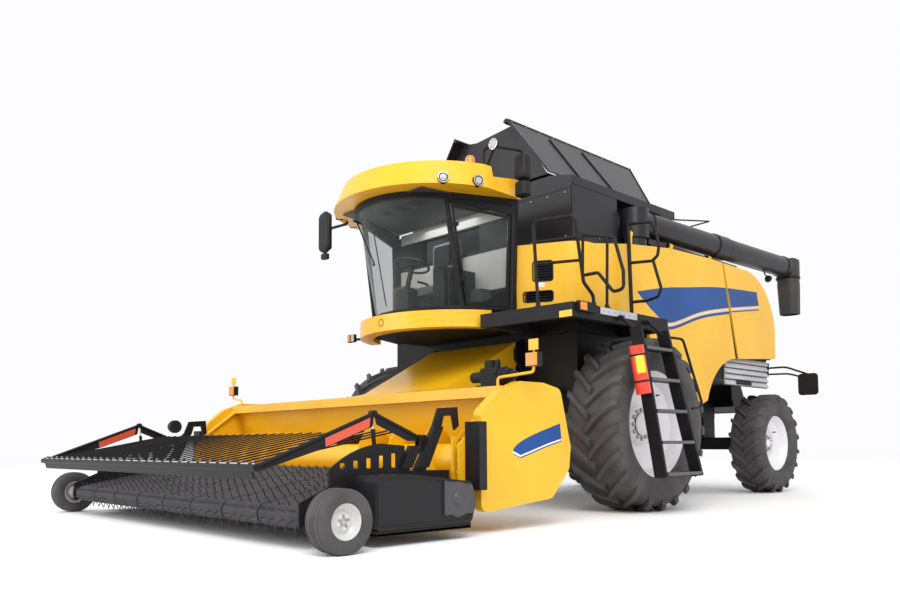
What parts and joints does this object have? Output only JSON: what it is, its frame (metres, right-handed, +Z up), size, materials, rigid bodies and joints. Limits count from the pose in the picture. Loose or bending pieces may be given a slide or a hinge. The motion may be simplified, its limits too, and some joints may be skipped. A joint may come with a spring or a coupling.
{
  "type": "combine harvester",
  "caption": "Self-propelled combine harvester with a belt pickup header, cab, boarding ladder, folded unloading auger and raised grain tank covers.",
  "frame": {"origin": "on the ground under the middle of the whole machine", "axes": "+Y towards the rear, so that the machine drives towards -Y; +X to the machine's left, the cab ladder's side; +Z up"},
  "size_m": [5.102, 9.6839, 4.6],
  "materials": {
    "yellow": "semi-gloss yellow enamel",
    "black_paint": "satin black enamel",
    "grey_paint": "satin dark grey enamel",
    "rim_paint": "light grey enamel",
    "chrome": "chromed rod",
    "iron": "cast iron",
    "tyre": "black tyre rubber",
    "belt": "ribbed belt rubber",
    "plastic": "grained dark plastic",
    "yellow_plastic": "moulded yellow plastic",
    "lamp": "clear lamp lens",
    "glass": "lightly tinted safety glass",
    "fabric": "dark seat fabric",
    "red": "gloss red enamel"
  },
  "bodies": {
    "chassis": {"chassis_frame": "black_paint", "front_axle": "iron", "rear_axle": "black_paint", "body_core": "black_paint", "shield_rails": "black_paint", "front_bulkhead": "black_paint", "feeder_mounts": "iron", "engine_block": "iron", "corner_shields": "yellow", "rear_hood": "yellow", "rear_louvres": "rim_paint", "chopper_housing": "black_paint", "grain_tank": "black_paint", "cab_base": "black_paint", "cab_frame": "black_paint", "cab_glass": "glass", "front_bumper": "yellow", "cab_roof": "yellow_plastic", "operator_seat": "fabric", "cab_console": "plastic", "mirrors": "plastic", "roof_lamps": "lamp", "platform": "grey_paint", "handrails": "black_paint"},
    "header": {"feeder_house": "yellow", "header_frame": "yellow", "end_panels": "yellow_plastic", "pickup_frame": "black_paint", "pickup_belts": "belt", "drive_cover": "plastic"},
    "front_wheel_left": {"front_tyre_left": "tyre", "front_rim_left": "rim_paint"},
    "knuckle_left": {"knuckle_left": "iron"},
    "rear_wheel_left": {"rear_tyre_left": "tyre", "rear_rim_left": "rim_paint"},
    "gauge_wheel_left": {"gauge_wheel_left": "tyre"},
    "side_door_left": {"side_door_left": "yellow"},
    "tank_cover_left": {"tank_cover_left": "black_paint"},
    "front_wheel_right": {"front_tyre_right": "tyre", "front_rim_right": "rim_paint"},
    "knuckle_right": {"knuckle_right": "iron"},
    "rear_wheel_right": {"rear_tyre_right": "tyre", "rear_rim_right": "rim_paint"},
    "gauge_wheel_right": {"gauge_wheel_right": "tyre"},
    "side_door_right": {"side_door_right": "yellow"},
    "tank_cover_right": {"tank_cover_right": "black_paint"},
    "lift_barrels": {"lift_barrels": "black_paint"},
    "lift_rods": {"lift_rods": "chrome"},
    "cross_auger": {"cross_auger": "yellow"},
    "windguard": {"windguard": "black_paint"},
    "guard_barrels": {"guard_barrels": "black_paint"},
    "guard_rods": {"guard_rods": "chrome"},
    "cab_door": {"cab_door_frame": "black_paint", "cab_door_glass": "glass"},
    "ladder": {"ladder": "black_paint", "ladder_treads": "black_paint", "fire_extinguisher": "red"},
    "unloading_auger": {"unloading_auger": "black_paint", "auger_spout": "belt"},
    "tailboard": {"tailboard": "black_paint"}
  },
  "joints": [
    {"name": "front_wheel_left_spin", "type": "hinge", "parent": "chassis", "child": "front_wheel_left", "pos_m": [1.933, -0.168, 0.905], "axis": [1, 0, 0], "continuous": true},
    {"name": "steering_left", "type": "hinge", "parent": "chassis", "child": "knuckle_left", "pos_m": [1.18, 3.732, 0.697], "axis": [0, 0, 1], "range_deg": [-35, 35]},
    {"name": "rear_wheel_left_spin", "type": "hinge", "parent": "knuckle_left", "child": "rear_wheel_left", "pos_m": [1.507, 3.732, 0.697], "axis": [1, 0, 0], "continuous": true},
    {"name": "gauge_wheel_left_spin", "type": "hinge", "parent": "header", "child": "gauge_wheel_left", "pos_m": [2.456, -4.402, 0.213], "axis": [1, 0, 0], "continuous": true},
    {"name": "front_wheel_right_spin", "type": "hinge", "parent": "chassis", "child": "front_wheel_right", "pos_m": [-1.933, -0.168, 0.905], "axis": [1, 0, 0], "continuous": true},
    {"name": "steering_right", "type": "hinge", "parent": "chassis", "child": "knuckle_right", "pos_m": [-1.18, 3.732, 0.697], "axis": [0, 0, 1], "range_deg": [-35, 35]},
    {"name": "rear_wheel_right_spin", "type": "hinge", "parent": "knuckle_right", "child": "rear_wheel_right", "pos_m": [-1.507, 3.732, 0.697], "axis": [1, 0, 0], "continuous": true},
    {"name": "gauge_wheel_right_spin", "type": "hinge", "parent": "header", "child": "gauge_wheel_right", "pos_m": [-2.456, -4.402, 0.213], "axis": [1, 0, 0], "continuous": true},
    {"name": "header_lift", "type": "hinge", "parent": "chassis", "child": "header", "pos_m": [0, -0.688, 1.72], "axis": [-1, 0, 0], "range_deg": [0, 15]},
    {"name": "lift_barrel_tilt", "type": "hinge", "parent": "chassis", "child": "lift_barrels", "pos_m": [0, -0.498, 0.76], "axis": [-1, 0, 0], "range_deg": [0, 14.99]},
    {"name": "lift_rod_stroke", "type": "slide", "parent": "lift_barrels", "child": "lift_rods", "axis": [0, -0.9624, -0.2715], "range_m": [0, 0.2582]},
    {"name": "windguard_lift", "type": "hinge", "parent": "header", "child": "windguard", "pos_m": [0, -3.398, 0.75], "axis": [-1, 0, 0], "range_deg": [0, 25]},
    {"name": "guard_barrel_tilt", "type": "hinge", "parent": "header", "child": "guard_barrels", "pos_m": [0, -3.808, 0.52], "axis": [-1, 0, 0], "range_deg": [0, 13.71]},
    {"name": "guard_rod_stroke", "type": "slide", "parent": "guard_barrels", "child": "guard_rods", "axis": [0, -0.0971, 0.9953], "range_m": [0, 0.1796]},
    {"name": "cross_auger_spin", "type": "hinge", "parent": "header", "child": "cross_auger", "pos_m": [0, -2.728, 0.56], "axis": [1, 0, 0], "continuous": true},
    {"name": "cab_door_swing", "type": "hinge", "parent": "chassis", "child": "cab_door", "pos_m": [0.78783, -1.61572, 2.14788], "axis": [0.0342, 0.1712, -0.9846], "range_deg": [0, 75]},
    {"name": "ladder_swing", "type": "hinge", "parent": "chassis", "child": "ladder", "pos_m": [2.165, -0.758, 1.96], "axis": [0, -1, 0], "range_deg": [0, 100]},
    {"name": "unloading_auger_swing", "type": "hinge", "parent": "chassis", "child": "unloading_auger", "pos_m": [1.4, 0.682, 3.36], "axis": [0, 0, -1], "range_deg": [0, 95]},
    {"name": "side_door_left_lift", "type": "hinge", "parent": "chassis", "child": "side_door_left", "pos_m": [1.545, 1.332, 3.15], "axis": [0, -1, 0], "range_deg": [0, 80]},
    {"name": "tank_cover_left_close", "type": "hinge", "parent": "chassis", "child": "tank_cover_left", "pos_m": [1.06, 0.632, 3.79], "axis": [0, -1, 0], "range_deg": [0, 50]},
    {"name": "side_door_right_lift", "type": "hinge", "parent": "chassis", "child": "side_door_right", "pos_m": [-1.545, 1.332, 3.15], "axis": [0, 1, 0], "range_deg": [0, 80]},
    {"name": "tank_cover_right_close", "type": "hinge", "parent": "chassis", "child": "tank_cover_right", "pos_m": [-1.06, 0.632, 3.79], "axis": [0, 1, 0], "range_deg": [0, 50]},
    {"name": "tailboard_lift", "type": "hinge", "parent": "chassis", "child": "tailboard", "pos_m": [0, 4.357, 1.4], "axis": [1, 0, 0], "range_deg": [0, 40]}
  ],
  "couplings": [
    {"joint": "steering_right", "follows": "steering_left", "ratio": 1},
    {"joint": "lift_barrel_tilt", "follows": "header_lift", "ratio": 0.96593},
    {"joint": "lift_rod_stroke", "follows": "header_lift", "m_per_rad": 0.97476},
    {"joint": "guard_barrel_tilt", "follows": "windguard_lift", "ratio": 0.52844},
    {"joint": "guard_rod_stroke", "follows": "windguard_lift", "m_per_rad": 0.40471},
    {"joint": "tank_cover_right_close", "follows": "tank_cover_left_close", "ratio": 1}
  ]
}
